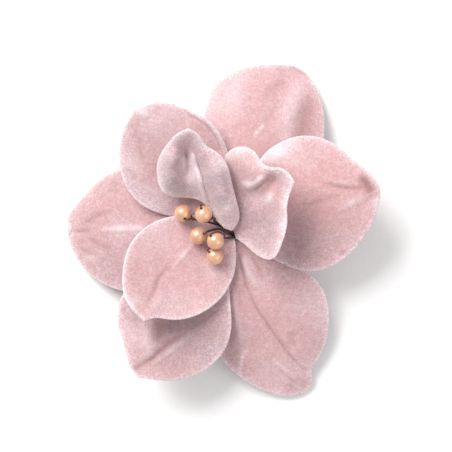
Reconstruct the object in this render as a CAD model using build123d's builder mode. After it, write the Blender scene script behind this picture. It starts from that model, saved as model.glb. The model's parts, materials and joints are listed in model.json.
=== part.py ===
"""Velvet flower hair clip: nine moulded velvet petals in three rings of three, a spray of five pearls on
wire stems, a felt back, and a sprung two-arm clip that closes on the hair.

Millimetres. +Z points out of the flower's face, and the object lies on its back on Z = 0: on the pad of the
clip's handle and on the tips of the three outer petals. The clip lies along X, with its mouth towards -X.
The origin is the middle of the whole object's footprint, on the surface that it lies on.
"""

from build123d import *
from math import asin, atan2, degrees, hypot, sqrt
import os

os.makedirs("parts", exist_ok=True)

# ---------------------------------------------------------------- driving dimensions
# clip arms, stamped from spring steel sheet
plate = 0.8                # sheet thickness
clip_width = 10.0          # width of the upper arm and of both handles
mouth_reach = 42.0         # from the hinge to the tip of the jaws
handle_reach = 16.0        # from the hinge to the end of the handles
tip_round = 3.0            # corner radius, in plan, at the ends of the arms
hinge_drop = 3.2           # hinge axis below the upper arm
heel_drop = 6.0            # upper face of the lower arm below the upper arm, at the hinge
heel_reach = 1.5           # the lower arm is straight this far behind the hinge
shoulder_reach = 3.5       # the lower arm widens to its handle this far behind the hinge
handle_drop = 5.2          # further fall of the lower handle, down to its pad
pad_length = 3.5           # flat pad at the end of the lower handle
bow_reach = 24.0           # from the hinge to the lowest part of the bowed jaw
bow_drop = 5.2             # middle of the jaw plate below the upper arm there
lip_reach = 3.5            # the tip of the lower jaw turns up over this length, to the teeth's height
bend_radius = 2.5          # bends of the lower arm
tooth_height = 1.3
tooth_root = 0.1           # the teeth start this far under the middle of the plate
tooth_pitch = 2.2
tooth_count = 9
tip_gap = 0.12             # the closed tip stops this far below the upper arm
grip_ribs = 3              # pressed ribs across the upper handle, on its outer face
rib_pitch = 1.8
rib_radius = 0.35

# hinge
pin_diameter = 1.6
pin_clearance = 0.05       # radial, in the lower arm's ears
ear_radius = 2.2
ear_sink = 0.3             # the lower arm's ears run this far into the middle of its plate
ear_gap = 0.15             # between the ears of the two arms
rivet_diameter = 3.0
rivet_height = 0.5

# torsion spring
spring_wire = 0.7
spring_turns = 4.5
coil_clearance = 0.35      # radial, coil to pin
coil_pitch = 0.98
leg_reach = 11.0           # from the hinge to the end of each leg
leg_clearance = 0.1        # leg to the arm that it pushes on

# felt back, stiff core and the glue that holds the bases of the petals
felt_diameter = 40.0
felt_thickness = 1.5
felt_edge = 0.4            # rounding of its lower edge
core_diameter = 25.0
core_thickness = 1.5
glue_diameter = 7.0
glue_height = 7.6
glue_edge = 0.8            # rounding of its upper rim
binding_diameter = 4.2
binding_height = 8.0

# petals
petal_thickness = 1.1
layer_gap = 0.25           # glue line between one layer of petals and the next
petal_seat = 0.35          # the lowest layer clears the core disc by this much, at its base
tip_zone = 0.87            # share of a petal's reach where its outline turns in to the tip
nib_width = 4.5            # pinched tip

# pearls and their stems
pearl_diameter = 6.0
pearl_bore = 1.0
stem_wire = 0.7
stem_ring = 1.2            # the stems stand on a circle of this radius inside the binding
stem_past_pearl = 0.5      # the wire's end stands this far out of the pearl
stem_bend = 1.5
# each pearl: where it is from the hub, its height above the inner petals' bases, and its stem's angle
pearls = (
    ((-18.2, 6.9), 4.8, 160),
    ((-11.0, 6.5), 9.3, 110),
    ((-12.8, -0.9), 5.3, 205),
    ((-6.8, -2.7), 9.8, 330),
    ((-7.0, -8.0), 5.8, 260),
)
inner_level = 3            # layer that the inner ring's curled petals start from

# where the flower's hub is over the clip, along X
hub_to_hinge = 12.0

# ---------------------------------------------------------------- levels and places worked out from them
upper_under = heel_drop + plate + handle_drop      # underside of the upper arm
hinge_x = hub_to_hinge
hinge_z = upper_under - hinge_drop
tip_x = hinge_x - mouth_reach
end_x = hinge_x + handle_reach
felt_under = upper_under + plate
core_under = felt_under + felt_thickness
core_top = core_under + core_thickness
layer = petal_thickness + layer_gap
inner_base = core_top + petal_seat + inner_level * layer
pin_radius = pin_diameter / 2
glue_radius = glue_diameter / 2
upper_ear_face = clip_width / 2                    # outer face of the upper arm's ears
lower_ear_face = upper_ear_face - plate - ear_gap  # outer face of the lower arm's ears

pieces = []


def finish(piece, label):
    """Names a finished piece and keeps it for export."""
    piece.part.label = label
    pieces.append(piece.part)


# ---------------------------------------------------------------- clip: upper arm
with BuildPart() as upper_arm:
    with BuildSketch(Plane.XY.offset(upper_under)) as plan:
        with Locations(((tip_x + end_x) / 2, 0)):
            RectangleRounded(end_x - tip_x, clip_width, tip_round)
    extrude(amount=plate)
    # two ears turned down at the hinge, each with a hole that grips the pin
    for side in (-1, 1):
        outer = side * upper_ear_face
        with BuildSketch(Plane.XZ.offset(-outer)) as ear:
            with Locations((hinge_x, hinge_z)):
                Circle(ear_radius)
            with Locations((hinge_x, hinge_z + hinge_drop / 2)):
                Rectangle(2 * ear_radius, hinge_drop)
            with Locations((hinge_x, hinge_z)):
                Circle(pin_radius, mode=Mode.SUBTRACT)
        extrude(amount=side * plate)
    # pressed grip ribs on the outer face of the handle
    for i in range(grip_ribs):
        with BuildSketch(Plane.XZ.offset(tip_round - clip_width / 2)) as rib:
            with Locations((end_x - tip_round - i * rib_pitch, felt_under)):
                Circle(rib_radius)
        extrude(amount=clip_width - 2 * tip_round)
finish(upper_arm, "clip_upper_arm")

# ---------------------------------------------------------------- clip: lower arm
jaw_z = upper_under - tip_gap - plate / 2          # middle of the plate at the tip
heel_z = upper_under - heel_drop - plate / 2
lip_z = jaw_z - tooth_height
jaw_fall = (lip_z - upper_under + bow_drop) / (mouth_reach - bow_reach - lip_reach)
with BuildPart() as lower_arm:
    with BuildSketch(Plane.XZ) as side_view:
        with BuildLine() as spine:
            FilletPolyline(
                (tip_x, jaw_z),
                (tip_x + lip_reach, lip_z),
                (hinge_x - bow_reach, upper_under - bow_drop),
                (hinge_x - ear_radius, heel_z),
                (hinge_x + heel_reach, heel_z),
                (end_x - pad_length, plate / 2),
                (end_x, plate / 2),
                radius=bend_radius,
            )
        trace(line_width=plate)
    extrude(amount=clip_width / 2, both=True)
    # plan shape: narrow between the upper arm's ears, full width at the handle, round ends
    with BuildSketch(Plane.XY) as plan:
        with Locations(((tip_x + end_x) / 2, 0)):
            RectangleRounded(end_x - tip_x, 2 * lower_ear_face, tip_round)
        with Locations(((hinge_x + shoulder_reach + end_x) / 2, 0)):
            RectangleRounded(end_x - hinge_x - shoulder_reach, clip_width, tip_round)
    extrude(amount=felt_under, mode=Mode.INTERSECT)
    # ears turned up inside those of the upper arm
    for side in (-1, 1):
        with BuildSketch(Plane.XZ.offset(-side * lower_ear_face)) as ear:
            with Locations((hinge_x, hinge_z)):
                Circle(ear_radius)
            with Locations((hinge_x, (hinge_z + heel_z - ear_sink) / 2)):
                Rectangle(2 * ear_radius, hinge_z - heel_z + ear_sink)
        extrude(amount=side * plate)
    with Locations(Location((hinge_x, 0, hinge_z), (90, 0, 0))):
        Cylinder(pin_radius + pin_clearance, clip_width, mode=Mode.SUBTRACT)
    # two rows of teeth turned up along the jaw, their points in line with the upper arm's face
    for side in (-1, 1):
        with BuildSketch(Plane.XZ.offset(-side * lower_ear_face)) as teeth:
            for i in range(tooth_count):
                x = tip_x + tip_round + (i + 1 / 2) * tooth_pitch
                root = lip_z - jaw_fall * max(x - tip_x - lip_reach, 0)
                with BuildLine():
                    Polyline(
                        (x - tooth_pitch / 2, root - tooth_root),
                        (x, root + plate / 2 + tooth_height - tooth_root),
                        (x + tooth_pitch / 2, root - tooth_root),
                        close=True,
                    )
                make_face()
        extrude(amount=side * plate)
finish(lower_arm, "clip_lower_arm")

# ---------------------------------------------------------------- hinge pin, riveted over at both ends
with BuildPart() as hinge_pin:
    with Locations(Location((hinge_x, 0, hinge_z), (90, 0, 0))):
        Cylinder(pin_radius, 2 * upper_ear_face)
    for side in (-1, 1):
        head_y = side * (upper_ear_face + rivet_height / 2)
        with Locations(Location((hinge_x, head_y, hinge_z), (90, 0, 0))):
            Cylinder(rivet_diameter / 2, rivet_height)
finish(hinge_pin, "hinge_pin")

# ---------------------------------------------------------------- torsion spring round the pin
coil_radius = pin_radius + coil_clearance + spring_wire / 2
leg_up_z = upper_under - leg_clearance - spring_wire / 2
handle_fall = (heel_z - plate / 2) / (handle_reach - heel_reach - pad_length)
leg_down_z = (
    heel_z
    + (plate + spring_wire) / 2 * hypot(1, handle_fall)
    + leg_clearance
    - handle_fall * (leg_reach - heel_reach)
)


def leg_line(drop, side):
    """Angle and length of a straight leg that leaves the coil and ends leg_reach behind the hinge, at that
    height above the pin's axis. side is +1 over the pin and -1 under it."""
    far = hypot(leg_reach, drop)
    return degrees(atan2(drop, leg_reach) - side * asin(coil_radius / far)), sqrt(far**2 - coil_radius**2)


up_angle, up_length = leg_line(leg_up_z - hinge_z, 1)
down_angle, down_length = leg_line(leg_down_z - hinge_z, -1)
coil_length = (spring_turns + (down_angle - up_angle) / 360) * coil_pitch
with BuildPart() as spring:
    # the coil starts at its top, winds towards -X, and ends at its bottom
    with BuildLine() as coil:
        Helix(
            pitch=coil_pitch,
            height=coil_length,
            radius=coil_radius,
            center=(0, 0, 0),
            direction=(0, 0, 1),
            lefthand=True,
        )
    turn = Location((hinge_x, -coil_length / 2, hinge_z), (-90, 0, 0))
    wound = turn * Rotation(0, 0, -90 - up_angle) * coil.edge()
    with BuildSketch(Plane(origin=wound @ 0, z_dir=wound % 0)):
        Circle(spring_wire / 2)
    sweep(path=wound, is_frenet=True)
    # its straight legs go on from both ends of the coil
    for foot, along, length in ((wound @ 0, -(wound % 0), up_length), (wound @ 1, wound % 1, down_length)):
        with BuildSketch(Plane(origin=foot, z_dir=along)) as leg:
            Circle(spring_wire / 2)
        extrude(amount=length)
finish(spring, "torsion_spring")

# ---------------------------------------------------------------- felt back and stiff core
with BuildPart() as felt_back:
    with BuildSketch(Plane.XY.offset(felt_under)):
        Circle(felt_diameter / 2)
    extrude(amount=felt_thickness)
    fillet(felt_back.edges().group_by(Axis.Z)[0], felt_edge)
finish(felt_back, "felt_back")

with BuildPart() as core_disc:
    with BuildSketch(Plane.XY.offset(core_under)):
        Circle(core_diameter / 2)
    extrude(amount=core_thickness)
finish(core_disc, "core_disc")

# ---------------------------------------------------------------- thread binding round the stems, and the glue
with BuildPart() as binding:
    with BuildSketch(Plane.XY.offset(core_top)):
        Circle(binding_diameter / 2)
        with Locations(*[Vector(stem_ring, 0).rotate(Axis.Z, angle) for place, height, angle in pearls]):
            Circle(stem_wire / 2, mode=Mode.SUBTRACT)
    extrude(amount=binding_height)
finish(binding, "stem_binding")

with BuildPart() as glue:
    with BuildSketch(Plane.XY.offset(core_top)):
        Circle(glue_radius)
        Circle(binding_diameter / 2, mode=Mode.SUBTRACT)
    extrude(amount=glue_height)
    fillet(glue.edges().group_by(Axis.Z)[-1].sort_by(SortBy.RADIUS)[-1], glue_edge)
finish(glue, "glue_plug")


# ---------------------------------------------------------------- petals
def cup_centre(base, tip, radius, hollow):
    """Centre of the circle of that radius through two points (x, z): above them where the petal is hollow."""
    dx, dz = tip[0] - base[0], tip[1] - base[1]
    chord = hypot(dx, dz)
    stand_off = sqrt(radius**2 - (chord / 2) ** 2) * (1 if hollow else -1)
    return ((base[0] + tip[0]) / 2 - dz / chord * stand_off, (base[1] + tip[1]) / 2 + dx / chord * stand_off)


def make_petal(label, azimuth, level, reach, rise, halves, bend, claw=(4.6, 6.5), widest=0.58, full=0.7, shift=0.0):
    """One petal, moulded as a patch of a spherical shell.

    azimuth: direction of its middle line. level: layer that its base lies in. reach: from the hub to the
    tip, in plan. rise: height of the tip above the base. halves: greatest widths left and right of the
    middle line. bend: radius of the shell, positive where the petal is hollow like a bowl. claw: half width
    and length of the narrow base. widest: where it is widest, as a share of the reach. full: half width
    near the tip, as a share of the greatest. shift: the middle line passes this far left of the hub.
    """
    under = core_top + petal_seat + level * layer
    tip_height = under + rise
    radius = abs(bend)
    hollow = bend > 0
    centre = cup_centre((glue_radius, under), (reach, tip_height), radius, hollow)
    inner, outer = (radius - petal_thickness, radius) if hollow else (radius, radius + petal_thickness)
    claw_width, claw_end = claw
    base_corner = glue_radius / sqrt(2)
    with BuildPart() as petal:
        with BuildSketch(Plane.XY) as cut:
            with BuildLine() as outline:
                for side, half in zip((1, -1), halves):
                    Spline(
                        (base_corner, shift + side * base_corner),
                        (claw_end, shift + side * claw_width),
                        (reach * widest, shift + side * half),
                        (reach * tip_zone, shift + side * half * full),
                        (reach, shift + side * nib_width / 2),
                        tangents=((2, side), (1, -3 * side)),
                    )
                Line(outline.edges()[0] @ 1, outline.edges()[1] @ 1)
                Line(outline.edges()[0] @ 0, outline.edges()[1] @ 0)
            make_face()
        # a hollow petal stays in the lower half of its sphere
        extrude(amount=centre[1] if hollow else 2 * core_top)
        with Locations((centre[0], 0, centre[1])):
            Sphere(outer, mode=Mode.INTERSECT)
            Sphere(inner, mode=Mode.SUBTRACT)
        Cylinder(glue_radius, 4 * reach, mode=Mode.SUBTRACT)
    with BuildPart() as placed:
        add(petal.part, rotation=(0, 0, azimuth))
    finish(placed, label)


# outer ring: long, arched over backwards, with the tips on the table
make_petal("outer_petal_top", 68, 0, 62.5, -core_top, (26, 17), -70, full=0.75)
make_petal("outer_petal_left", 180, 0, 58, -core_top, (21, 21), -70, widest=0.65)
make_petal("outer_petal_lower_right", -67.5, 0, 61, -core_top, (18, 20), -70, full=0.72)
# middle ring: a little hollow, over the gaps of the outer ring
make_petal("middle_petal_right", 16.5, 1, 51.5, 14, (24.5, 19.5), 160)
make_petal("middle_petal_upper_left", 128, 1, 54, 14, (18, 17), 160)
make_petal("middle_petal_lower_left", 235, 1, 60, 12, (18.5, 18.5), 250)
# inner ring: one petal lies open, the other two stand up and curl
make_petal("inner_petal_front", 218, 2, 43.5, 20, (17, 15.5), 90, full=0.66)
make_petal("inner_petal_right", 30, inner_level, 24, 26, (14, 19), 32, claw=(4.6, 4.5), widest=0.42)
make_petal("inner_petal_left", 117, inner_level + 1, 38, 26, (15, 8), 45, claw=(3.8, 12))

# ---------------------------------------------------------------- pearls on wire stems
for number, (place, height, angle) in enumerate(pearls, start=1):
    foot = Vector(stem_ring, 0).rotate(Axis.Z, angle)
    top = Vector(foot.X, foot.Y, core_top + binding_height + stem_bend)
    pearl_at = Vector(*place, inner_base + height)
    along = (pearl_at - top).normalized()
    with BuildPart() as stem:
        with BuildLine() as route:
            FilletPolyline(
                Vector(foot.X, foot.Y, core_top),
                top,
                pearl_at + along * (pearl_diameter / 2 + stem_past_pearl),
                radius=stem_bend,
            )
        with BuildSketch(Plane(origin=route.line @ 0, z_dir=route.line % 0)):
            Circle(stem_wire / 2)
        sweep()
    finish(stem, f"stem_{number}")
    with BuildPart() as pearl:
        with Locations(Plane(origin=pearl_at, z_dir=along).location):
            Sphere(pearl_diameter / 2)
            Cylinder(pearl_bore / 2, 2 * pearl_diameter, mode=Mode.SUBTRACT)
    finish(pearl, f"pearl_{number}")

# ---------------------------------------------------------------- origin and export
whole = Compound(children=[Part() + p for p in pieces]).bounding_box()
to_origin = Vector(-whole.center().X, -whole.center().Y, 0)
for piece in pieces:
    name = piece.label
    moved = piece.moved(Location(to_origin))
    moved.label = name
    export_step(moved, f"parts/{name}.step")
print("hub at", to_origin, "size", whole.size, "lowest", whole.min.Z)
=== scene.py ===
# %% [markdown]
# # A velvet magnolia on a hair clip
# The real thing is nine velvet petals, each moulded on a hot iron, glued in three rings round a spray of
# pearls on wire stems. Behind the flower sit a stiff disc, a felt back and a sprung steel clip. The clip is
# simple enough to keep its CAD shape, so only its metal is finished here. The soft pieces are made anew as
# surfaces worked out with numpy, each in the place of its plain CAD solid.

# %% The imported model, and the numbers that everything else is measured from
import json

import bmesh
import bpy
import numpy as np
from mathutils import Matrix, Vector


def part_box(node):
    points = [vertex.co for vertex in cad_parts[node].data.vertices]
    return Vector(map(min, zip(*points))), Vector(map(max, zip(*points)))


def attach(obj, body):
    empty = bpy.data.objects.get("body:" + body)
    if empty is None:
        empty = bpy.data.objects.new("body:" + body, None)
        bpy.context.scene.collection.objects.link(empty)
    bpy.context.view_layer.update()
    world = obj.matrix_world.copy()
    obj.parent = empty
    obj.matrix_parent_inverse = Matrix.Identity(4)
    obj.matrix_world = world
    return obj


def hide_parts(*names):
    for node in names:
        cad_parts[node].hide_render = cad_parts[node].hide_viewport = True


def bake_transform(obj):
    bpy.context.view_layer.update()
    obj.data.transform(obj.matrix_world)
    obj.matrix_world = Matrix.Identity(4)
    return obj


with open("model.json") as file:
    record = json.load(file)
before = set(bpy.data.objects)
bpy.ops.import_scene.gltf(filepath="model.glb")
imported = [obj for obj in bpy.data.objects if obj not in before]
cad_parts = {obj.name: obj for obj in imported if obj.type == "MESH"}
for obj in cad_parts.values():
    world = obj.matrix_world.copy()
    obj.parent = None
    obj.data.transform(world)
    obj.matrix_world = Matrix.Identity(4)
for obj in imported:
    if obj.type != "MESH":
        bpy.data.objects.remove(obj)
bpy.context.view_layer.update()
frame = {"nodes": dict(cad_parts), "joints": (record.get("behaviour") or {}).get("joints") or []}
MM = 0.001
FLOWER = "flower"
core_low, core_high = (np.array(corner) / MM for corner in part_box("core_disc"))
HUB = np.array([(core_low[0] + core_high[0]) / 2, (core_low[1] + core_high[1]) / 2])
CORE_TOP = core_high[2]
print(f"hub at {HUB.round(2)} mm, top of the core disc at {CORE_TOP:.2f} mm")


# %% [markdown]
# ## Curves through a few points
# A petal's edge, a crease and a wire are all smooth lines through a handful of places. A natural cubic spline
# is the line that a springy strip of wood takes when it is held there, and numpy solves it in a few lines.

# %% A springy line through points
def springy_line(points, count):
    """The natural cubic spline through the points, at count places spaced evenly by distance.

    Along each span it is a cubic, and the second derivatives M follow from
    h[i-1] M[i-1] + 2 (h[i-1] + h[i]) M[i] + h[i] M[i+1] = 6 (slope[i] - slope[i-1]), with M = 0 at the ends.
    """
    points = np.array(points, float)
    knots = np.concatenate([[0], np.cumsum(np.linalg.norm(np.diff(points, axis=0), axis=1))])
    h, slope = np.diff(knots), np.diff(points, axis=0) / np.diff(knots)[:, None]
    inner = np.diag(2 * (h[:-1] + h[1:])) + np.diag(h[1:-1], 1) + np.diag(h[1:-1], -1)
    bend = np.zeros_like(points)
    bend[1:-1] = np.linalg.solve(inner, 6 * np.diff(slope, axis=0))
    at = np.linspace(0, knots[-1], count)
    i = np.clip(np.searchsorted(knots, at, side="right") - 1, 0, len(h) - 1)
    a, b, span = (knots[i + 1] - at)[:, None], (at - knots[i])[:, None], h[i][:, None]
    return (
        (bend[i] * a**3 + bend[i + 1] * b**3) / (6 * span)
        + (points[i] / span - bend[i] * span / 6) * a
        + (points[i + 1] / span - bend[i + 1] * span / 6) * b
    )


def near_line(x, y, line):
    """Distance from each place (x, y) to a polyline, and how far along it (0 to 1) the nearest place is."""
    best, along = np.full(x.shape, np.inf), np.zeros(x.shape)
    for k in range(len(line) - 1):
        (ax, ay), (bx, by) = line[k], line[k + 1]
        length = max((bx - ax) ** 2 + (by - ay) ** 2, 1e-9)
        t = np.clip(((x - ax) * (bx - ax) + (y - ay) * (by - ay)) / length, 0, 1)
        away = np.hypot(x - ax - t * (bx - ax), y - ay - t * (by - ay))
        along = np.where(away < best, (k + t) / (len(line) - 1), along)
        best = np.minimum(best, away)
    return best, along


# %% [markdown]
# ## The sheet of a petal
# Seen from above, a petal is a leaf between a left and a right edge that meet at its tip. A grid between
# the edges gives every place a number along and a number across, and a second function says how high each
# place stands. The real petal keeps the shape that the hot iron gave it, so the height is a formula and not
# a cloth simulation.

# %% Grid over a leaf, with its rim
ALONG, ACROSS = 150, 120


def leaf_grid(left, right):
    """Places (x, y) of a grid over the leaf: x, y = mean of the edges + t * half their difference.

    s runs from the base to the tip and t from the right edge (-1) to the left edge (+1). Both are bent by a
    sine so that the grid lines crowd together at the tip and at the rim, where the sheet turns over.
    """
    s = np.sin(np.linspace(0, np.pi / 2, ALONG))
    t = np.sin(np.linspace(-np.pi / 2, np.pi / 2, ACROSS))
    fine = np.linspace(0, 1, 400)
    edges = []
    for edge in (left, right):
        line = springy_line(edge, 400)
        edges.append(np.stack([np.interp(s, fine, line[:, k]) for k in (0, 1)], axis=1))
    middle, half = (edges[0] + edges[1]) / 2, (edges[0] - edges[1]) / 2
    grid = middle[:, None, :] + t[None, :, None] * half[:, None, :]
    rim = np.concatenate([springy_line(right, 160), springy_line(left, 160)[::-1]])
    rim = np.concatenate([rim, rim[:1]])
    from_rim, _ = near_line(grid[..., 0], grid[..., 1], rim)
    from_rim[[0, -1]] = 0.0
    from_rim[:, [0, -1]] = 0.0
    return grid[..., 0], grid[..., 1], from_rim


# %% [markdown]
# ## From a sheet to velvet with a thickness
# A petal is taken as two layers of velvet over a lining, about a millimetre thick, with a cut edge rounded
# by the pile. The two faces are offset along the normal by a half thickness that falls to nothing at the
# rim like the side of a circle.

# %% Faces of a grid, and sealing a mesh
def grid_quads(index):
    """The faces between neighbouring rows and columns of a grid of place numbers."""
    return np.stack([index[:-1, :-1], index[1:, :-1], index[1:, 1:], index[:-1, 1:]], -1).reshape(-1, 4)


def sealed(mesh, weld, slivers=False):
    """Welds places closer than weld metres, turns the faces outwards, and counts the edges that don't have
    two faces. slivers clears away faces without area as well."""
    shell = bmesh.new()
    shell.from_mesh(mesh)
    bmesh.ops.remove_doubles(shell, verts=shell.verts, dist=weld)
    if slivers:
        bmesh.ops.dissolve_degenerate(shell, edges=shell.edges, dist=1e-7)
    bmesh.ops.recalc_face_normals(shell, faces=shell.faces)
    open_edges = sum(len(edge.link_faces) != 2 for edge in shell.edges)
    shell.to_mesh(mesh)
    shell.free()
    mesh.shade_smooth()
    print(f"{mesh.name}: {len(mesh.polygons)} faces, {open_edges} open edges")
    return mesh


# %% Closed shell from a grid of places
RIM_ROUNDING = 0.75  # the rim's rounding reaches this many thicknesses inwards


def shell_mesh(name, x, y, z, from_rim, thickness, fields):
    """A closed mesh of the sheet (x, y, z), in mm: place +- normal * thickness / 2 * sqrt(1 - (1 - d)^2),
    where d is the distance from the rim over the rounding's radius, at most 1. fields are named numbers per
    place, kept as attributes for the material."""
    sheet = np.stack([x, y, z], axis=-1)
    along, across = np.gradient(sheet, axis=0), np.gradient(sheet, axis=1)
    normal = np.cross(along, across)
    size = np.linalg.norm(normal, axis=-1, keepdims=True)
    normal = np.where(size > 1e-9, normal / np.maximum(size, 1e-9), [0.0, 0.0, 1.0])
    normal *= np.sign(normal[..., 2:3] + 1e-9)
    d = np.clip(from_rim / (thickness * RIM_ROUNDING), 0, 1)
    half = (thickness / 2 * np.sqrt(1 - (1 - d) ** 2))[..., None]
    rows, columns = x.shape
    top, bottom = sheet + normal * half, sheet - normal * half
    place = np.concatenate([top.reshape(-1, 3), bottom.reshape(-1, 3)])
    place[:, :2] += HUB
    index = np.arange(rows * columns).reshape(rows, columns)
    quads = grid_quads(index)
    under = quads[:, ::-1] + rows * columns
    mesh = bpy.data.meshes.new(name)
    mesh.from_pydata((place * MM).tolist(), [], np.concatenate([quads, under]).tolist())
    for label, values in fields.items():
        both = np.concatenate([values.reshape(-1)] * 2).astype(np.float32)
        mesh.attributes.new(label, "FLOAT", "POINT").data.foreach_set("value", both)
    return sealed(mesh, weld=3e-8)


def add_piece(mesh, material, stands_for, body=FLOWER):
    """Puts a finished mesh into the scene as a piece of the same name. It stands for a CAD node and moves
    with a body of the frame."""
    piece = bpy.data.objects.new(mesh.name, mesh)
    bpy.context.scene.collection.objects.link(piece)
    mesh.materials.append(material)
    if body:
        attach(piece, body)
    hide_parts(stands_for)
    return piece


# %% [markdown]
# ## Node helpers
# Every finish below is a small network of nodes on one Principled shader. These helpers add a node, wire its
# inputs and hand back the socket that the next node needs.

# %% Adding and wiring nodes
def new_material(name, **sockets):
    """A material with one Principled shader, and Object coordinates, in metres, which stay with the piece.
    sockets holds values for the shader's own inputs."""
    material = bpy.data.materials.new(name)
    material.use_nodes = True
    shader = material.node_tree.nodes["Principled BSDF"]
    for socket, value in sockets.items():
        shader.inputs[socket.replace("_", " ")].default_value = value
    return material, node("ShaderNodeTexCoord", tree=material.node_tree).outputs["Object"]


def node(kind, settings=None, tree=None, **inputs):
    """A node of that kind. settings are its own properties, and inputs are values or sockets to wire. A socket
    knows the tree it is in, so tree is needed only where no input is a socket."""
    tree = tree or next(value.id_data for value in inputs.values() if isinstance(value, bpy.types.NodeSocket))
    made = tree.nodes.new(kind)
    for key, value in (settings or {}).items():
        setattr(made, key, value)
    for key, value in inputs.items():
        socket = made.inputs[int(key[1:])] if key[0] == "i" and key[1:].isdigit() else made.inputs[key]
        if isinstance(value, bpy.types.NodeSocket):
            tree.links.new(value, socket)
        else:
            socket.default_value = value
    return made


def noise(place, scale, detail=3.0, roughness=0.5):
    """Noise from 0 to 1, with about scale lumps to the metre."""
    made = node("ShaderNodeTexNoise", Vector=place, Scale=scale, Detail=detail, Roughness=roughness)
    return made.outputs["Fac"]


def between(value, low, high, to_low=0.0, to_high=1.0):
    """The value stretched from low..high to to_low..to_high and held inside it."""
    return node("ShaderNodeMapRange", i0=value, i1=low, i2=high, i3=to_low, i4=to_high).outputs[0]


def calc(operation, a, b=0.0, clamp=False):
    """One sum, product or other operation on two numbers."""
    return node("ShaderNodeMath", {"operation": operation, "use_clamp": clamp}, i0=a, i1=b).outputs[0]


def blend_colour(share, a, b, kind="MIX"):
    """Colour a where share is 0 and colour b where it is 1."""
    return node("ShaderNodeMix", {"data_type": "RGBA", "blend_type": kind}, i0=share, i6=a, i7=b).outputs[2]


def reading(place, name):
    """The attribute of that name, as a number, in the tree that place is in."""
    return node("ShaderNodeAttribute", {"attribute_name": name}, place.id_data).outputs["Fac"]


def finish(material, bump=None, **sockets):
    """Wires sockets to the shader and hands back the material. bump is (strength, distance, height): the normal
    tilts as if the surface rose by height (0 to 1) times distance, in metres."""
    tree = material.node_tree
    if bump:
        strength, distance, height = bump
        bumped = node("ShaderNodeBump", Strength=strength, Distance=distance, Height=height)
        sockets["Normal"] = bumped.outputs[0]
    for socket, value in sockets.items():
        tree.links.new(value, tree.nodes["Principled BSDF"].inputs[socket.replace("_", " ")])
    return material


# %% [markdown]
# ## Velvet
# Velvet is a forest of short upright fibres: deep in colour seen straight on, and pale at a slant, where
# the fibre tips catch the light. The shader's sheen does that. Fingers and the iron have also brushed the
# pile this way and that, so four sizes of noise mix pale, pink and mauve, and three of them roughen the
# surface. The petal's own attributes paint light and shade into the colour on top of that: a painted sheen
# along the rim, painted highlights on ridges and lit sides, and painted shade in creases, in hollows and
# under other petals. Their mauve is partly the petal's real tone and partly painted shade, and their pale
# partly brushed or scratched pile and partly painted highlight.

# %% The velvet material
ROSE = (0.530, 0.312, 0.318, 1)
MAUVE = (0.370, 0.272, 0.292, 1)
FROST_AND_SHEEN = (0.760, 0.640, 0.675, 1)
SHADE = (0.330, 0.185, 0.180, 1)


def velvet(name):
    material, place = new_material(
        name,
        Roughness=0.92,
        Specular_IOR_Level=0.18,
        Sheen_Weight=0.75,
        Sheen_Roughness=0.42,
        Sheen_Tint=(1.0, 0.93, 0.94, 1),
    )
    patches = noise(place, 75.0, 4.0, 0.6)
    clumps = noise(place, 620.0, 3.0, 0.65)
    tufts = noise(place, 1700.0, 2.0, 0.6)
    fibres = noise(place, 3800.0, 2.0, 0.7)
    brushed = between(patches, 0.35, 0.7, -0.12, 0.26)
    # Mauve: the petal's own tone and brushed patches, and in places under other petals painted shade.
    mauve_and_shade_share = calc("ADD", reading(place, "mauve_and_shade"), brushed, True)
    colour = blend_colour(mauve_and_shade_share, ROSE, MAUVE)
    # Frost share: brushed and scratched pile, painted highlights on ridges and lit sides, and the painted rim
    # sheen.
    frost_and_sheen_share = calc("ADD", reading(place, "pale_and_highlight"), between(clumps, 0.40, 0.72, -0.05, 0.22))
    # Painted sheen: the rim attribute lightens the colour along each edge, as the pile looks there at a slant.
    rim_sheen_and_frost = calc("ADD", reading(place, "rim"), calc("MULTIPLY", reading(place, "mauve_and_shade"), 0.12))
    frost_and_sheen_share = calc("ADD", frost_and_sheen_share, calc("MULTIPLY", rim_sheen_and_frost, between(tufts, 0.3, 0.7, 0.35, 1.15)))
    frost_and_sheen_share = calc("ADD", frost_and_sheen_share, between(tufts, 0.45, 0.75, -0.03, 0.12), True)
    colour = blend_colour(frost_and_sheen_share, colour, FROST_AND_SHEEN)
    # Painted shade: creases, hollows and places under other petals are darkened towards SHADE.
    colour = blend_colour(calc("MULTIPLY", reading(place, "painted_shade"), 0.6, True), colour, SHADE)
    grain = between(tufts, 0.3, 0.7, 0.92, 1.06)
    grain = calc("ADD", between(fibres, 0.3, 0.7, -0.1, 0.1), grain)
    grey = node("ShaderNodeCombineColor", i0=grain, i1=grain, i2=grain).outputs[0]
    colour = blend_colour(1.0, colour, grey, "MULTIPLY")
    height = calc("ADD", calc("MULTIPLY", tufts, 0.8), calc("MULTIPLY", clumps, 1.3))
    height = calc("ADD", height, calc("MULTIPLY", fibres, 0.5))
    return finish(material, Base_Color=colour, bump=(0.5, 0.00024, height))


VELVETS = {slot: velvet(slot) for slot in ("velvet_pink", "velvet_mauve")}
print("velvets:", *VELVETS)


# %% [markdown]
# ## Shaping a petal
# An ironed petal has a spine from the hub to the tip, straight or arched, sides lifted or dropped from it,
# and a rim rolled over a little, which makes it look thick. Creases are furrows or ridges along a short
# line, with painted shade in the furrows and a painted highlight on the ridges. Patches paint pale, mauve
# and dark places: the dark ones are painted shade, the mauve ones partly the petal's real tone and partly
# painted shade, and the pale ones partly brushed or scratched pile and partly painted highlight. All of
# them are added up place by place.

# %% Spine, sides, rim, creases and patches
def gentle(x):
    """The bump exp(-x^2): 1 at 0, almost nothing past 2."""
    return np.exp(-x * x)


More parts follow.
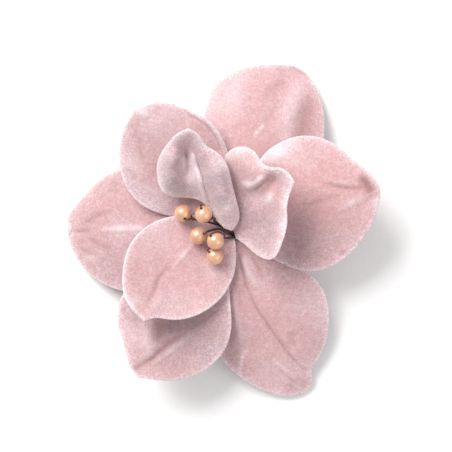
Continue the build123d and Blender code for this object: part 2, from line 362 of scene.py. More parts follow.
def ironed_height(x, y, from_rim, tip, start, end, belly, cup, roll, wave):
    """start + (end - start) u + 4 belly u (1 - u) + cup (v / 10)^2 - roll exp(-d / 2) + waves at the rim.

    u runs from 0 at the hub to 1 at the tip, v is the distance in mm from the spine, and d from the rim.
    """
    length = np.hypot(*tip)
    u = (x * tip[0] + y * tip[1]) / length**2
    v = (y * tip[0] - x * tip[1]) / length
    size, count, phase = wave
    around = np.arctan2(v, (u - 0.5) * length)
    z = start + (end - start) * u + 4 * belly * u * (1 - u) + cup * (v / 10) ** 2
    return z - roll * np.exp(-from_rim / 2.0) + size * np.sin(count * around + phase) * np.exp(-from_rim / 5.0)


def pinned_height(x, y, pins):
    """The thin plate through the pins (px, py, pz): the smoothest sheet that passes through them all.

    z = a + b x + c y + sum of w r^2 log r, where r is the distance to each pin. The weights w solve one
    linear system, so that the sheet meets every pin and the weights have no push or tilt of their own.
    """
    pins = np.array(pins, float)

    def bend(r):
        return r * r * np.log(np.maximum(r, 1e-6))

    flat = np.column_stack([np.ones(len(pins)), pins[:, :2]])
    far = np.linalg.norm(pins[:, None, :2] - pins[None, :, :2], axis=-1)
    system = np.block([[bend(far), flat], [flat.T, np.zeros((3, 3))]])
    weights = np.linalg.solve(system, np.concatenate([pins[:, 2], np.zeros(3)]))
    z = weights[-3] + weights[-2] * x + weights[-1] * y
    away = np.hypot(x[..., None] - pins[:, 0], y[..., None] - pins[:, 1])
    return z + bend(away) @ weights[:-3]


def crease_fields(x, y, creases):
    """Height added by the creases, and the painted shade and painted highlight that they carry.

    Each crease is (height, width, points): height * exp(-(d / width)^2), faded to nothing at its two ends,
    where d is the distance from the line. A furrow, with height below 0, gets painted shade, and a ridge
    gets a painted highlight.
    """
    z, shaded, highlight = np.zeros(x.shape), np.zeros(x.shape), np.zeros(x.shape)
    for height, width, points in creases:
        away, along = near_line(x, y, springy_line(points, 24))
        shape = gentle(away / width) * np.sqrt(np.clip(4 * along * (1 - along), 0, 1))
        z += height * shape
        mark = np.minimum(abs(height) * 1.5, 1.0) * shape
        if height < 0:
            shaded += mark
        else:
            highlight += mark * 0.35
    return z, shaded, highlight


def patch_field(x, y, patches):
    """The sum of soft round patches (px, py, radius, amount): amount * exp(-(r / radius)^2)."""
    total = np.zeros(x.shape)
    for px, py, radius, amount in patches:
        total += amount * gentle(np.hypot(x - px, y - py) / radius)
    return total


def handled(x, y):
    """Slight unevenness from the fingers, in mm: a product of two sines whose phases drift with each other."""
    return 0.16 * np.sin(x / 2.3 + 1.4 * np.sin(y / 4.1)) * np.sin(y / 2.9 + 1.2 * np.sin(x / 5.3))


VELVET_THICKNESS = 1.0
CREASE_DEPTH = 1.3  # all creases are this much deeper than their lists say
CALM_RIM = 3.0  # mm from the rim in which the unevenness fades, and the painted rim sheen too


def petal(
    name, left, right, height, creases=(), pale_and_highlight=(), mauve_and_shade=(), shaded=(), grey=0.0, slot="velvet_pink",
    reach=1.0, lip=0.8,
):
    """Makes one petal. Places are in mm from the hub, and reach scales them all at the end. height is a
    function of (x, y, from_rim), and lip is the width in mm of the painted sheen along the rim."""
    x, y, from_rim = leaf_grid(left, right)
    z, furrow_shade, ridge_highlight = crease_fields(x, y, creases)
    z = CREASE_DEPTH * z + height(x, y, from_rim) + handled(x, y) * np.clip(from_rim / CALM_RIM, 0, 1)
    fields = {
        # These fields paint light and shade into the colour: rim is a painted sheen along the edge, the crease
        # furrows and dark patches are painted shade, the ridges and many pale patches are painted highlights,
        # and the mauve patches are partly painted shade beside the petal's real tone.
        "rim": 0.7 * np.exp(-((from_rim / lip) ** 1.5)) + 0.35 * np.exp(-from_rim / CALM_RIM),
        "painted_shade": furrow_shade + patch_field(x, y, shaded),
        "pale_and_highlight": ridge_highlight + patch_field(x, y, pale_and_highlight),
        "mauve_and_shade": grey + patch_field(x, y, mauve_and_shade),
    }
    mesh = shell_mesh(name + "_velvet", x * reach, y * reach, z, from_rim, VELVET_THICKNESS, fields)
    piece = add_piece(mesh, VELVETS[slot], name)
    return piece


# %% [markdown]
# ## The outer ring
# These three petals are the longest. They arch over backwards until their tips are down by the table.

# %% Outer petals
def arched(tip, start, end, belly, cup, roll, wave):
    """The height function of a petal whose spine runs from the hub to that tip."""
    return lambda x, y, d: ironed_height(x, y, d, tip, start, end, belly, cup, roll, wave)


OUTER_BASE = CORE_TOP + 0.9
# In each petal below, the dark patches are painted shade in hollows and under other petals, the pale ones
# partly real scratches and brushed pile and partly painted highlights, and the mauve ones partly the petal's
# tone and partly painted shade.
petal(
    "outer_petal_top", reach=1.01,
    left=[(0, 3.2), (-6.5, 18), (-11, 38), (-8, 50), (3, 57.6), (15, 58.9), (21.5, 58.2), (25, 56)],
    right=[(3, 2), (14, 9), (25, 19.5), (31, 34), (29.6, 47.5), (25, 56)],
    height=arched((25, 56), OUTER_BASE, 2.2, 4.6, -0.6, 0.5, (0.35, 5, 0.4)),
    creases=[
        (0.7, 3.5, [(24.5, 54.5), (21.5, 48.5), (18.5, 39), (18, 28)]),
        (-0.5, 3.0, [(26.5, 48), (24.5, 40), (23, 30)]),
        (-0.35, 1.6, [(17.5, 53.3), (13, 49.8), (9.5, 46.5)]),
        (-0.5, 0.9, [(19, 58.2), (22.5, 56.6), (25.2, 55)]),
        (0.12, 0.4, [(9.9, 37.5), (8.3, 35.4), (6.5, 33.5)]),
        (0.4, 3.5, [(1, 57), (0.5, 49), (1.5, 38)]),
    ],
    # The broad pale patches on the left are painted highlight where the petal faces the lamp; the row of small
    # ones is a real scratch.
    pale_and_highlight=[
        (-7, 45, 6, 0.3), (-7, 33, 5, 0.2), (2, 52, 8, 0.1), (9.6, 37.2, 0.6, 0.6), (8.7, 36.1, 0.6, 0.6),
        (7.8, 35, 0.6, 0.6), (7, 34, 0.6, 0.5),
    ],
    shaded=[(26, 41, 5, 0.22), (22.5, 35, 5, 0.18)],
)
petal(
    "outer_petal_left", reach=1.01,
    left=[
        (-3, -1.5), (-14, -11), (-28, -19), (-41, -19.7), (-51, -14), (-56.5, -6.5), (-57.8, -2.5),
        (-57, 0.6),
    ],
    right=[(-3, 1.5), (-14, 11), (-28, 20), (-40, 22.1), (-49.3, 16.7), (-56, 9.2), (-58.5, 4.8), (-57, 0.6)],
    height=arched((-57, 0.6), OUTER_BASE, 2.4, 4.8, -0.5, 0.4, (0.3, 5, 1.1)),
    creases=[
        (0.5, 0.9, [(-47, 0.7), (-40, 1.1), (-31, 1.3)]),
        (-0.4, 1.2, [(-53.5, 2.2), (-50, 4.2), (-46, 6.5), (-42, 7.4)]),
        (-0.5, 0.9, [(-57.5, 0.8), (-54, 0.3), (-50, 0.9)]),
        (-0.3, 1.0, [(-51, -1.2), (-47, -4.4), (-43, -6.2)]),
        (-0.3, 1.0, [(-55, -4.5), (-51, -7), (-47, -8.6)]),
        (-0.25, 0.8, [(-47, 18), (-46, 16)]),
    ],
    pale_and_highlight=[(-40, 1.1, 3.5, 0.35), (-34, 1.3, 3, 0.3), (-49, -8.5, 2, 0.25)],
    mauve_and_shade=[(-42, -14, 9, 0.3)],
    shaded=[(-44, 11.5, 6, 0.12), (-49, -1, 4, 0.12)],
    grey=0.12,
)
petal(
    "outer_petal_lower_right", reach=1.01,
    left=[
        (2.2, -0.5), (12, -6), (24, -12.6), (31.2, -21), (32.6, -32), (29, -44), (26.8, -48.4), (27.1, -51.8),
        (23, -56.4),
    ],
    right=[
        (-0.8, -2.2), (-5, -14), (-8, -28), (-6, -41), (1.6, -50.1), (11.4, -55.6), (18, -57), (23, -56.4),
    ],
    height=arched((23, -56.2), OUTER_BASE, 2.2, 4.6, -0.55, 0.4, (0.3, 5, 2.0)),
    creases=[
        (-0.75, 0.6, [(3.6, -16.6), (6.9, -24.7), (11.7, -32.2), (17, -39.7), (21.9, -45.6), (25.4, -48.6)]),
        (0.35, 0.9, [(13.3, -44), (18, -48.5), (21.5, -51.5)]),
        (-0.3, 0.8, [(14, -46), (19.2, -50.8), (22, -53)]),
        (-0.25, 1.2, [(19.7, -33.8), (20.8, -40.7)]),
        (0.6, 1.0, [(2.5, -8), (4.5, -13), (7.5, -19)]),
        (-0.6, 0.8, [(1.0, -7), (2.6, -13), (4.0, -20)]),
        (-0.5, 0.8, [(5, -7), (8.5, -13), (9.8, -17)]),
        (0.5, 1.0, [(-0.4, -17.7), (1, -32), (3.0, -40.7)]),
        (-0.35, 1.0, [(-2.5, -22), (-2.2, -32), (-1.5, -40)]),
        (0.15, 0.35, [(2.6, -42.9), (1.9, -46), (1.8, -49.5)]),
    ],
    pale_and_highlight=[
        (3.6, -41.3, 1.2, 0.5), (6, -9.5, 2.5, 0.2), (9, -16, 5, 0.14), (28, -24, 9, 0.25), (16, -50, 9, 0.2),
        (2.6, -43.2, 0.5, 0.6), (2.3, -44.4, 0.5, 0.6), (2.1, -45.7, 0.5, 0.6), (1.9, -47, 0.5, 0.5),
        (1.9, -48.4, 0.5, 0.4),
    ],
    shaded=[(19.7, -53.6, 1.8, 0.55), (23.5, -52.3, 1.6, 0.5), (7.8, -32.5, 0.4, 1.4)],
    grey=0.05,
)

# %% [markdown]
# ## The middle ring
# The next three lie over the gaps of the outer ring and rise gently towards their tips.

# %% Middle petals
MIDDLE_BASE = OUTER_BASE + 1.45
petal(
    "middle_petal_right",
    left=[
        (2, 3), (5, 14), (9.3, 26.4), (16.5, 32), (25, 34), (35, 30.8), (43, 24.2), (48.3, 19.4),
        (50.6, 15),
    ],
    right=[(3.2, -1), (10, -7), (18, -11.3), (27.5, -13.3), (37.5, -9.2), (46.6, 1.2), (50, 9.6), (50.6, 15)],
    height=arched((50.6, 15), MIDDLE_BASE, 29, -1.5, -0.4, 0.5, (0.4, 4, 0.5)),
    creases=[
        (0.6, 2.2, [(9.5, 23.8), (16, 28), (23, 32)]),
        (-0.45, 0.9, [(31, 17.2), (37, 15.8), (42, 15.4), (46, 16)]),
        (-0.35, 1.0, [(22.5, 9.3), (29, 10.8), (37.5, 13.2)]),
        (0.4, 1.2, [(36, 7.8), (41, 10.4), (46.5, 13)]),
        (0.25, 1.0, [(31, 18.8), (38, 17.4), (43, 17.2)]),
        (-0.9, 1.4, [(43.5, 19.5), (45.6, 17.4), (47.8, 14)]),
        (-0.3, 0.9, [(37, -8.2), (38.5, -6.2)]),
    ],
    pale_and_highlight=[(14, 28.5, 5, 0.4), (22.5, 27, 6, 0.2), (48.5, 11, 2, 0.3), (41, 10.5, 2, 0.2)],
    shaded=[
        (45, 18, 2, 0.65), (47.2, 14.5, 2.2, 0.85), (45, 14, 5, 0.2), (26, 0, 8, 0.3), (24, -8, 6, 0.3),
        (36, 9, 8, 0.16),
    ],
    mauve_and_shade=[(24, -5, 10, 0.6), (40, -6, 6, 0.4)],
)
petal(
    "middle_petal_upper_left",
    left=[(-3, 1.5), (-12, 4.5), (-24, 6.3), (-34, 11), (-39.5, 20), (-40.3, 30), (-38.3, 37.6), (-35.2, 43)],
    right=[(-0.5, 3.2), (-0.5, 14), (-2.5, 28), (-7, 37), (-17, 43.5), (-27, 45.8), (-35.2, 43)],
    height=arched((-35.2, 43), MIDDLE_BASE, 27, -1.2, -0.8, 0.5, (0.4, 5, 0.0)),
    creases=[
        (-0.45, 0.5, [(-17, 41.6), (-8.6, 36.2), (-4.8, 29)]),
        (0.4, 0.8, [(-16, 42.6), (-7.6, 37), (-3.8, 30)]),
        (-0.35, 0.9, [(-33.5, 29.5), (-32.3, 27.2), (-31, 25.3)]),
        (-0.25, 1.2, [(-38, 23), (-36, 20.5), (-34, 18)]),
        (0.3, 1.2, [(-34.5, 42.4), (-32, 41.6), (-30.5, 40)]),
        (-0.25, 1.5, [(-36, 38), (-33.5, 33), (-32.6, 29)]),
    ],
    pale_and_highlight=[(-32, 42, 1.8, 0.35), (-26, 38, 9, 0.35), (-37, 24, 6, 0.35), (-29, 11, 6, 0.2)],
    mauve_and_shade=[(-34, 15, 7, 0.45), (-24, 10, 7, 0.4), (-38, 27, 4, 0.2)],
)
petal(
    "middle_petal_lower_left",
    left=[(0, -3.2), (-2, -12), (-1.5, -26), (-2, -37), (-8, -46), (-19, -51.2), (-28, -51.2), (-34, -50.4)],
    right=[
        (-3, -1.2), (-17, -8), (-30, -13.5), (-38.6, -20.5), (-41, -30), (-38.6, -40), (-36.4, -47),
        (-34, -50.4),
    ],
    height=arched((-34, -50.4), MIDDLE_BASE, 24, -0.8, -0.25, 0.4, (0.3, 4, 0.8)),
    creases=[
        (0.9, 2.6, [(-31, -26), (-30.2, -35), (-29.6, -44)]),
        (-0.7, 2.0, [(-26.5, -30), (-26.5, -38)]),
        (-0.6, 1.1, [(-35.3, -47.9), (-29.6, -44.5), (-24.2, -39.7), (-18.3, -34.8)]),
        (0.5, 1.0, [(-29, -46), (-21.5, -40.4), (-15.5, -35.5)]),
    ],
    pale_and_highlight=[(-36, -36, 4, 0.25), (-22, -41, 3, 0.15), (-1.8, -25, 1.2, 0.3)],
    shaded=[
        (-35, -47, 2, 0.5), (-20, -36, 10, 0.55), (-9, -33, 7, 0.35), (-23, -47, 7, 0.27),
        (-37, -39, 5, 0.15),
    ],
    mauve_and_shade=[(-20, -33, 11, 0.6), (-8, -40, 8, 0.5), (-36, -28, 5, 0.35)],
    grey=0.18, slot="velvet_mauve",
)

# %% [markdown]
# ## The inner ring
# One petal lies open towards the front. The other two stand up and curl, and a spine with straight sides
# can't describe them. They are shaped as a dressmaker would: the sheet is pinned at the places that matter,
# and takes the smoothest shape between the pins.

# %% Inner petals
def pinned(pins, foot, stretch, curl, width):
    """The height function of a petal that stands up: the plate through the pins, made taller from foot by
    foot + stretch (z - foot), less curl exp(-d / width) at the rim."""
    return lambda x, y, d: foot + stretch * (pinned_height(x, y, pins) - foot) - curl * np.exp(-d / width)


INNER_BASE = MIDDLE_BASE + 1.9
petal(
    "inner_petal_front",
    left=[
        (0, -2.5), (0.4, -8), (-0.3, -14), (-4, -21.6), (-12, -28), (-22, -30.1), (-28, -29.5),
        (-31.5, -30.4),
    ],
    right=[
        (-3.2, 1.2), (-11, 5.5), (-21.2, 6), (-30.8, 2.3), (-36.9, -4.8), (-39, -14), (-37.8, -23),
        (-31.5, -30.4),
    ],
    height=arched((-31.5, -30.4), INNER_BASE, 37, -4.6, 0.35, 0.3, (0.35, 4, 2.4)),
    creases=[
        (0.35, 0.55, [(-14.4, -3.9), (-18, -8), (-21, -11.5)]),
        (-0.4, 1.0, [(-21.5, -11.5), (-26.4, -15.8), (-27.4, -19), (-31, -25)]),
        (0.3, 1.4, [(-24, -21), (-28, -25.5), (-30.5, -28.5)]),
        (-0.25, 2.0, [(-36, -22), (-33.5, -26.5), (-32, -29)]),
    ],
    pale_and_highlight=[
        (-35.5, -24, 2.5, 0.45), (-20, -25, 9, 0.2), (-25, -2, 8, 0.2), (-8, -14, 3, 0.2),
        (-1.5, -10, 2, 0.15), (-18, -8, 1.5, 0.2),
    ],
    shaded=[(-12, -4, 4, 0.1), (-2.5, -0.5, 3.5, 0.5)],
)
petal(
    "inner_petal_right",
    left=[
        (-1.1, 2.0), (-2.6, 12), (-4, 22), (-2.6, 28.2), (2.5, 30.4), (7, 28.4), (9.6, 24.6), (12, 23.2),
        (15.5, 22.9), (18.6, 21), (20.8, 17.7),
    ],
    right=[
        (0.4, -1.9), (3.6, -4.2), (8.5, -8.2), (12.8, -9.3), (16.3, -4), (18.2, 3.8), (18.2, 10),
        (20.8, 17.7),
    ],
    height=pinned([
        (-0.6, 1.9, 22.8), (0.6, -1.8, 22.4), (1.5, 1.5, 22.6), (4.5, -4, 24.5), (8.5, -8.2, 30.5),
        (12.8, -9.4, 34), (16.3, -4, 37), (18.1, 3.8, 39), (18.1, 9.9, 41), (20.8, 17.7, 43),
        (17.4, 21.8, 41.5), (12, 23, 38.5), (8.8, 26, 36.5), (4.6, 29.9, 33.5), (0.6, 30.1, 32), (-3, 28, 30.5),
        (-4, 22, 28), (-2, 12, 24.5),
        (7, 0, 26), (10, -3.5, 29.5), (11, 4, 29.5), (14, 2, 33), (7, 8, 28.5), (12.5, 10, 32), (15.5, 8, 36),
        (14.5, 18.5, 34), (17, 17, 37.5), (3.1, 18.1, 31.3), (5.3, 16.9, 32.3), (8.5, 18.8, 34.8),
        (10.6, 20.8, 36.2), (3.5, 14.5, 28.6), (7, 14.2, 30.2), (10.5, 16.2, 32.8), (2, 24, 33.5),
        (6, 24, 35.8),
    ], foot=21, stretch=1.12, curl=1.0, width=1.5),
    creases=[
        (0.7, 0.7, [(2.6, 18.3), (5.3, 16.8), (8.5, 18.7), (10.8, 20.6)]),
        (-0.5, 0.7, [(3.0, 16.6), (5.6, 15.2), (9.2, 17.4), (11.8, 19.6)]),
        (0.5, 0.8, [(13.5, 14.5), (12, 12), (11, 9.5)]),
    ],
    pale_and_highlight=[
        (8.5, 12.8, 3, 0.22), (5, 17.5, 2, 0.45), (9, 19.5, 1.5, 0.4), (12.3, 12.5, 1.6, 0.4),
        (16.8, 3, 2.5, 0.35), (1, 29, 3, 0.2),
    ],
    shaded=[(13, 20, 2.2, 0.45), (0, -0.4, 2.0, 0.9), (12, -1, 6, 0.1)],
    mauve_and_shade=[(10, -2, 7, 0.45), (5, 8, 6, 0.4), (12, 4, 6, 0.1)],
    grey=0.15, slot="velvet_mauve", reach=0.985, lip=1.6,
)
petal(
    "inner_petal_left",
    left=[
        (-3.6, 1.6), (-7.9, 6.3), (-10.6, 10.2), (-15.4, 12.4), (-20, 12.8), (-25, 14.3), (-27.4, 19.5),
        (-26.8, 27), (-23.6, 31.8), (-20.4, 35), (-16.5, 36.8),
    ],
    right=[
        (-1.2, 0.7), (1.3, 4.6), (0.9, 9.9), (-0.8, 16), (-3.2, 24.5), (-6.5, 28.6), (-10.2, 31), (-12.6, 34.4),
        (-16.5, 36.8),
    ],
    height=pinned([
        (-2, 1, 25.4), (1.3, 4.6, 26), (0.2, 2.5, 25.3), (-3.5, 4.5, 26.8), (-7.9, 6.3, 26.6),
        (-10.6, 10.2, 26), (-15.4, 12.7, 25),
        (-20, 13, 26.5), (-25, 14.3, 27.5), (-27.4, 20, 28), (-26.5, 27.2, 30), (-23, 32.2, 34.5),
        (-22.5, 20, 33), (-21.5, 26, 35), (-17.2, 27.5, 29), (-17, 22, 28.8), (-15.5, 16.5, 27.5),
        (-14.6, 27, 32), (-12.6, 20, 31), (-10.2, 13, 28.5), (-8.0, 9, 27), (-11.5, 23, 31.2),
        (-6, 22, 36), (-4, 14, 33.5), (-2, 8, 30), (-3.3, 24.9, 33), (-0.8, 15.6, 30.5), (0.9, 9.9, 28.5),
        (-9, 30.2, 35.5), (-12.2, 34.2, 38), (-16.5, 36.7, 40), (-16, 33, 36), (-19.5, 35, 38),
    ], foot=22, stretch=1.3, curl=1.2, width=1.6),
    creases=[
        (0.9, 0.55, [(-16, 30.5), (-13.8, 23.6), (-11.6, 16.4), (-9.4, 9.4)]),
        (-0.6, 0.7, [(-14.4, 29.5), (-12.5, 23.4), (-10.3, 16.2), (-8.3, 9.8)]),
        (-0.4, 1.0, [(-17.6, 28.5), (-17.0, 25.5), (-17.2, 21.5)]),
        (0.4, 0.8, [(-18.8, 29), (-18.4, 24.5), (-18.8, 21.5)]),
    ],
    pale_and_highlight=[
        (-14.5, 24.5, 2, 0.4), (-14.8, 20, 3.5, 0.4), (-16, 25, 3, 0.4), (-2.5, 6.5, 4, 0.35),
        (-2, 12, 2.5, 0.2), (-4.5, 25, 3, 0.25), (-13.5, 33, 2, 0.3),
    ],
    shaded=[(-16.6, 24.5, 2, 0.2), (-24.5, 23, 4.5, 0.32), (-21, 14.2, 3, 0.3), (-10, 22, 2.5, 0.1)],
    mauve_and_shade=[
        (-24, 25, 5, 0.55), (-24.5, 18, 4.5, 0.6), (-20, 14.5, 3, 0.6), (-8, 20, 6, 0.55), (-4, 10, 5, 0.5),
        (-14, 17, 5, 0.3),
    ],
    grey=0.25, slot="velvet_mauve", reach=0.98, lip=1.5,
)


# %% [markdown]
# ## Tubes, turned pieces and wound pieces
# A wire is a small circle carried along a line. A pearl or a disc is a profile turned round an axis. Both
# are rings of places, one after another, so one function makes the mesh for all of them.

# %% Mesh from rings
def ringed_mesh(name, rings, loop=False):
    """Joins rings[k, j], in mm from the hub, to their neighbours. j always closes on itself. k closes too if
    loop is set, and otherwise its first and last rings are single points, the poles."""
    rings = np.array(rings, float)
    rings[..., :2] += HUB
    rows, sides = rings.shape[:2]
    index = np.arange(rows * sides).reshape(rows, sides)
    index = np.concatenate([index, index[:, :1]], axis=1)
    if loop:
        index = np.concatenate([index, index[:1]], axis=0)
    mesh = bpy.data.meshes.new(name)
    mesh.from_pydata((rings.reshape(-1, 3) * MM).tolist(), [], grid_quads(index).tolist())
    return sealed(mesh, weld=1e-6, slivers=True)


def carried_frames(line):
    """Tangent, side and up at each point of a line. The side is carried along: at each point it is the last
    side less its part along the new tangent, so it never spins round the line."""
    tangent = np.gradient(line, axis=0)
    tangent /= np.linalg.norm(tangent, axis=1, keepdims=True)
    side = np.zeros_like(line)
    last = np.cross(tangent[0], [0.31, 0.95, 0.05])
    for k, direction in enumerate(tangent):
        last = last - direction * (last @ direction)
        last = last / np.linalg.norm(last)
        side[k] = last
    return tangent, side, np.cross(tangent, side)


def wire_rings(line, radius, sides=10):
    """Rings round a line: place = line + radius (cos a side + sin a up), rounded off at both ends."""
    _, side, up = carried_frames(line)
    travel = np.concatenate([[0], np.cumsum(np.linalg.norm(np.diff(line, axis=0), axis=1))])
    from_end = np.clip(np.minimum(travel, travel[-1] - travel) / radius, 0, 1)
    r = radius * np.sqrt(1 - (1 - from_end) ** 2)
    a = np.linspace(0, 2 * np.pi, sides, endpoint=False)
    around = np.cos(a)[:, None] * side[:, None, :] + np.sin(a)[:, None] * up[:, None, :]
    return line[:, None, :] + r[:, None, None] * around


def turned_rings(profile, centre, axis, sides, change):
    """Rings of a profile (distance from the axis, place along it) turned round the axis. change(angle, place
    along) scales the distance, as nothing here is perfectly round."""
    axis = np.array(axis, float) / np.linalg.norm(axis)
    side = np.cross(axis, [0.2, 0.3, 0.93] if abs(axis[2]) < 0.9 else [1, 0, 0])
    side /= np.linalg.norm(side)
    up = np.cross(axis, side)
    a = np.linspace(0, 2 * np.pi, sides, endpoint=False)
    around = np.cos(a)[:, None] * side + np.sin(a)[:, None] * up
    reach = profile[:, :1] * change(a[None, :], profile[:, 1:2])
    return np.array(centre) + reach[..., None] * around[None] + profile[:, 1][:, None, None] * axis


# %% [markdown]
# ## Pearls
# These are glass beads with a pearl coat, drilled right through, and slightly sunk where the coat stops.
# Pearl lustre is a soft, wide glow under a sharp reflection: a rough, slightly metallic base under a clear
# coat gives both, and sheen gives the rosy rim.

# %% Pearl finish
def pearl_finish():
    material, place = new_material(
        "pearl",
        Metallic=0.3,
        Roughness=0.3,
        Specular_IOR_Level=0.6,
        Coat_Weight=0.9,
        Coat_Roughness=0.1,
        Coat_Tint=(1.0, 0.93, 0.85, 1),
        Sheen_Weight=1.0,
        Sheen_Roughness=0.3,
        Sheen_Tint=(1.0, 0.74, 0.62, 1),
        Subsurface_Weight=0.25,
        Subsurface_Radius=(0.9, 0.5, 0.25),
        Subsurface_Scale=0.0008,
    )
    cloud = noise(place, 260.0, 3.0, 0.5)
    speck = noise(place, 2600.0, 2.0, 0.6)
    colour = blend_colour(between(cloud, 0.3, 0.7), (0.64, 0.38, 0.25, 1), (0.76, 0.50, 0.35, 1))
    return finish(
        material, Base_Color=colour, Roughness=between(speck, 0.3, 0.7, 0.28, 0.42), bump=(0.12, 0.00005, speck)
    )


pearl_coat = pearl_finish()

# %% [markdown]
# ## Wires and pearls together
# Each wire is one length: up from the binding, round one side of its pearl, through the hole, back round
# the other side, and down again twisted on itself. So it is one tube: a helix, a loop round and through the
# pearl, and the same helix half a turn on, back to the foot.

# %% Wire finish
def wire_finish():
    material, place = new_material("stem_wire", Roughness=0.5, Specular_IOR_Level=0.45, Coat_Weight=0.15)
    rub = noise(place, 1500.0, 3.0, 0.6)
    colour = blend_colour(between(rub, 0.35, 0.7), (0.045, 0.012, 0.014, 1), (0.12, 0.035, 0.032, 1))
    return finish(
        material, Base_Color=colour, Roughness=between(rub, 0.3, 0.7, 0.38, 0.6), bump=(0.4, 0.00004, rub)
    )


stem_coat = wire_finish()
PEARL_RADIUS, BORE, WIRE = 3.0, 0.5, 0.24
WIRE_GAP, TWIST_PITCH = 0.12, 1.7


def pearl_profile():
    """Sphere r = R sin q, h = R cos q between the mouths of the bore, then down the bore's straight wall."""
    mouth = np.arcsin((BORE + 0.22) / PEARL_RADIUS)
    q = np.linspace(mouth, np.pi - mouth, 60)
    shell = np.stack([PEARL_RADIUS * np.sin(q), PEARL_RADIUS * np.cos(q)], axis=1)
    lip = PEARL_RADIUS * np.cos(mouth)
    sink = np.array([[BORE + 0.12, -lip + 0.02], [BORE + 0.03, -lip + 0.09], [BORE, -lip + 0.2]])
    wall = np.stack([np.full(8, BORE), np.linspace(-lip + 0.5, lip - 0.5, 8)], axis=1)
    return np.concatenate([shell, sink, wall, sink[::-1] * [1, -1]])


def arc_round(start, end, count):
    """Directions on the unit sphere from start to end along the great circle: sines of the angle's shares."""
    start, end = (np.array(v, float) / np.linalg.norm(v) for v in (start, end))
    angle = np.arccos(np.clip(start @ end, -1, 1))
    share = np.linspace(0, 1, count)[:, None]
    return (np.sin((1 - share) * angle) * start + np.sin(share * angle) * end) / np.sin(angle)


def pearl_on_wire(number, centre, hole, join, stem, behind=None):
    """One pearl and its wire. hole points from the pearl's centre to the hole that shows, join to where the
    twist begins, behind to a place that the wire goes round by, and stem lists the twist's places."""
    centre, hole = np.array(centre, float), np.array(hole, float) / np.linalg.norm(hole)
    rings = turned_rings(
        pearl_profile(), centre, hole, 72,
        lambda a, h: 1 + 0.006 * np.sin(2 * a + number) + 0.0036 * np.sin(3 * a - h),
    )
    add_piece(ringed_mesh(f"bead_{number}", rings, loop=True), pearl_coat, f"pearl_{number}")

    join = np.array(join, float) / np.linalg.norm(join)
    clear = PEARL_RADIUS + WIRE + WIRE_GAP
    way_in = arc_round(join, hole, 6) if behind is None else np.concatenate(
        [arc_round(join, behind, 5)[:-1], arc_round(behind, hole, 5)]
    )
    way_out = arc_round(-hole, join, 6)
    twist = springy_line([*stem, centre + join * (clear + 0.9)], 160)
    travel = np.concatenate([[0], np.cumsum(np.linalg.norm(np.diff(twist, axis=0), axis=1))])
    _, side, up = carried_frames(twist)
    turn = 2 * np.pi * travel / TWIST_PITCH
    swing = (np.cos(turn)[:, None] * side + np.sin(turn)[:, None] * up) * (WIRE + 0.01)
    bore = centre + hole * np.linspace(1.7, -1.7, 3)[:, None]
    loop = springy_line(np.concatenate([
        (twist + swing)[-3:], centre + way_in[1:-1] * clear, [centre + hole * (clear + WIRE_GAP)], bore,
        [centre - hole * (clear + WIRE_GAP)], centre + way_out[1:-1] * clear, (twist - swing)[-3:][::-1],
    ]), 220)
    line = np.concatenate([(twist + swing)[:-3], loop, (twist - swing)[:-3][::-1]])
    wire = ringed_mesh(f"wire_{number}", wire_rings(line, WIRE))
    add_piece(wire, stem_coat, f"stem_{number}")


pearl_on_wire(
    1, (-18.2, 6.9, 25.0), hole=(0.25, -0.68, 0.69), join=(0.87, -0.49, -0.05),
    stem=[(-0.86, 0.42, 16), (-0.9, 0.5, 19.4), (-2.7, 1.3, 21.3), (-6, 2.8, 22.0), (-10.5, 4.1, 23.0)],
)
pearl_on_wire(
    2, (-11.0, 6.5, 29.5), hole=(-0.28, 0.72, 0.63), join=(0.92, -0.35, -0.15), behind=(0.1, 0.15, -0.98),
    stem=[(0.12, 0.94, 16), (0.05, 1.0, 19.1), (-1.7, 2.1, 20.9), (-4.2, 3.1, 23.2), (-6.6, 3.7, 24.8)],
)
pearl_on_wire(
    3, (-12.8, -0.9, 25.5), hole=(0.70, 0.22, 0.68), join=(0.92, 0.38, -0.05),
    stem=[(-0.74, -0.62, 16), (-0.82, -0.6, 19.9), (-2.6, 0.0, 21.4), (-5.2, 1.3, 22.9), (-7.5, 1.1, 24.2)],
)
pearl_on_wire(
    4, (-6.8, -2.7, 30.0), hole=(0.55, -0.60, -0.58), join=(0.80, 0.55, -0.25),
    stem=[(0.94, 0.05, 16), (0.85, 0.05, 18.9), (-0.8, 0.5, 21.2), (-2.9, 0.3, 23.8), (-3.6, -0.2, 27)],
)
pearl_on_wire(
    5, (-7.0, -8.0, 26.0), hole=(-0.70, 0.48, 0.53), join=(-0.1, 0.95, -0.30), behind=(-0.75, 0.62, -0.2),
    stem=[(0.42, -0.94, 16), (0.44, -1.06, 19.2), (-1.8, -1.7, 21.7), (-4, -1.9, 22.6), (-6, -3, 23.8)],
)

# %% [markdown]
# ## Binding and glue
# Below the petals the five wires are bound together with thread, and the bundle and the claws of all but the
# two curled petals are set in clear hot glue. A wound thread is a helix, so the binding's radius rises and
# falls with a phase that grows with both height and angle. Hot glue slumps before it sets, so its top is
# higher on one side.

# %% Thread binding
def thread_finish():
    material, place = new_material("thread", Roughness=0.8, Sheen_Weight=0.4, Sheen_Roughness=0.5)
    strands = noise(place, 2400.0, 3.0, 0.6)
    colour = blend_colour(between(strands, 0.3, 0.7), (0.10, 0.03, 0.035, 1), (0.20, 0.075, 0.08, 1))
    return finish(material, Base_Color=colour, bump=(0.5, 0.00008, strands))


